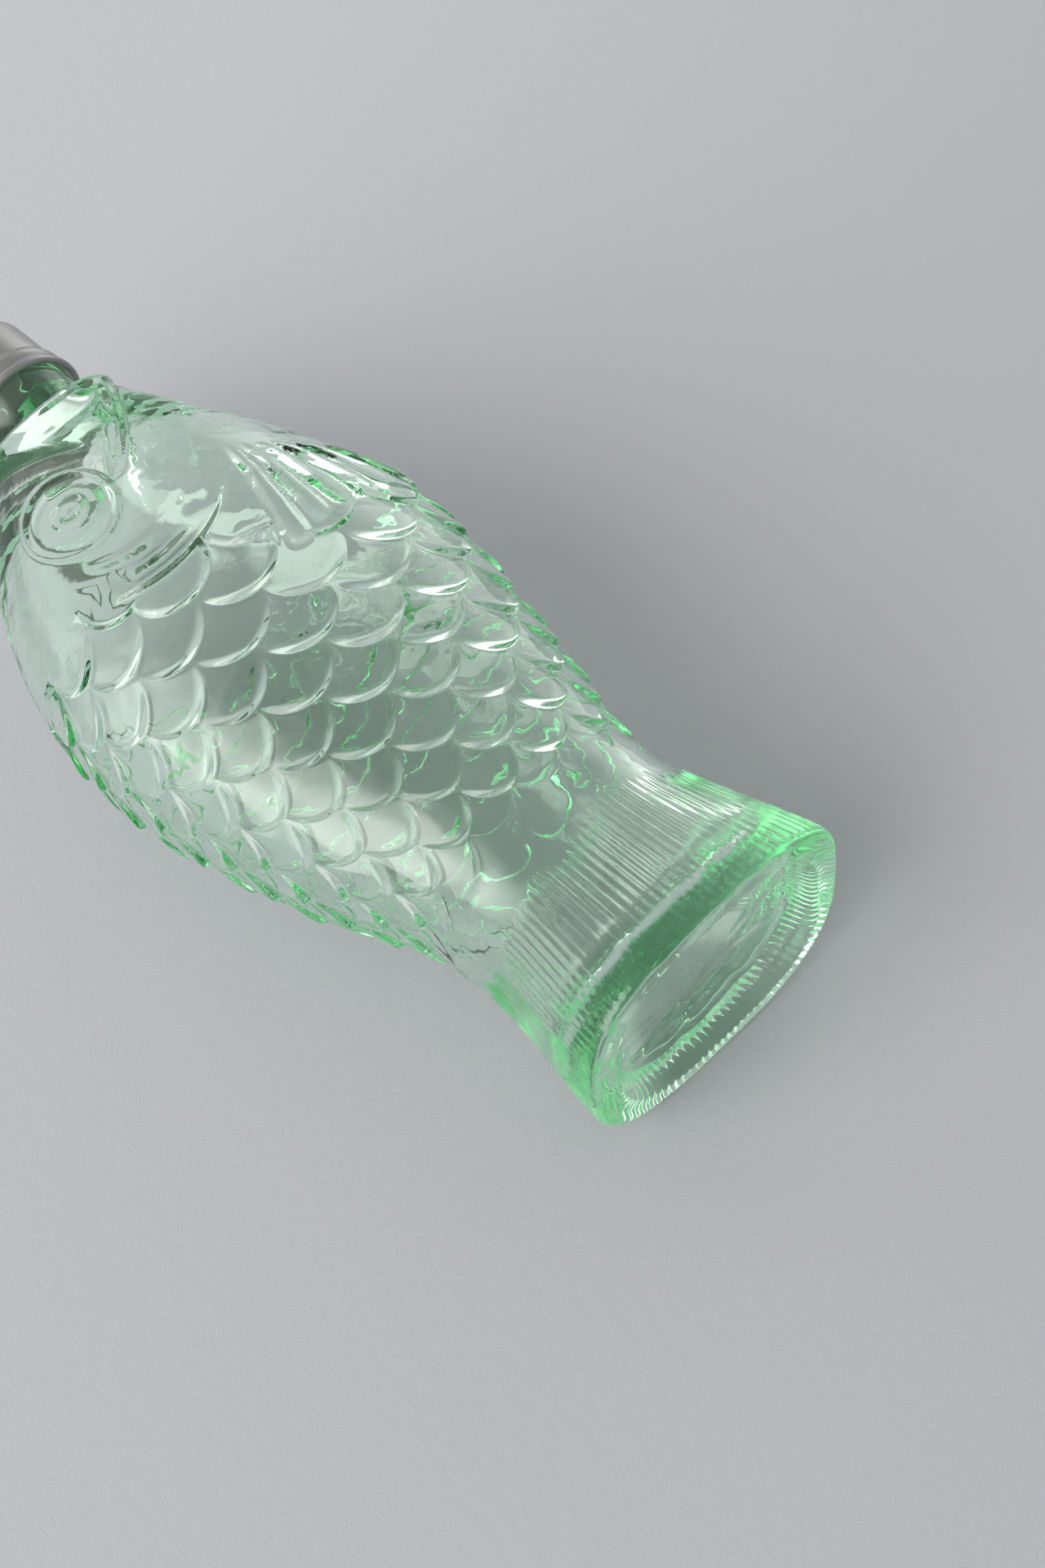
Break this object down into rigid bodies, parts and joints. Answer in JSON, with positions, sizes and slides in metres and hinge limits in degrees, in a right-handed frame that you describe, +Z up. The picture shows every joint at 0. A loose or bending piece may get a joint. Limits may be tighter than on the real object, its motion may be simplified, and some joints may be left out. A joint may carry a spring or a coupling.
{
  "type": "fish-shaped bottle",
  "caption": "Moulded glass bottle shaped as a scaled fish lying on its flank, with a metal screw cap on the neck at its mouth.",
  "frame": {"origin": "middle of the bottle's footprint as it lies on its flank, on the floor plane", "axes": "+X towards the tail's foot, +Y towards the fish's belly, +Z up"},
  "size_m": [0.2749, 0.1087, 0.0845],
  "materials": {
    "glass": "clear pale green, fire-polished",
    "cap": "satin",
    "liner": "matt"
  },
  "bodies": {
    "bottle": {"bottle": "glass"},
    "liner": {"liner": "liner"},
    "cap": {"cap": "cap"}
  },
  "joints": [
    {"name": "cap_rise", "type": "slide", "parent": "bottle", "child": "liner", "axis": [-0.9977, -0.0041, 0.0672], "range_m": [0, 0.0441]},
    {"name": "cap_turn", "type": "hinge", "parent": "liner", "child": "cap", "pos_m": [-0.126, 0.00699, 0.05049], "axis": [-0.9977, -0.0041, 0.0672], "range_deg": [0, 3960]}
  ],
  "couplings": [
    {"joint": "cap_rise", "follows": "cap_turn", "m_per_rad": 0.00063662}
  ]
}
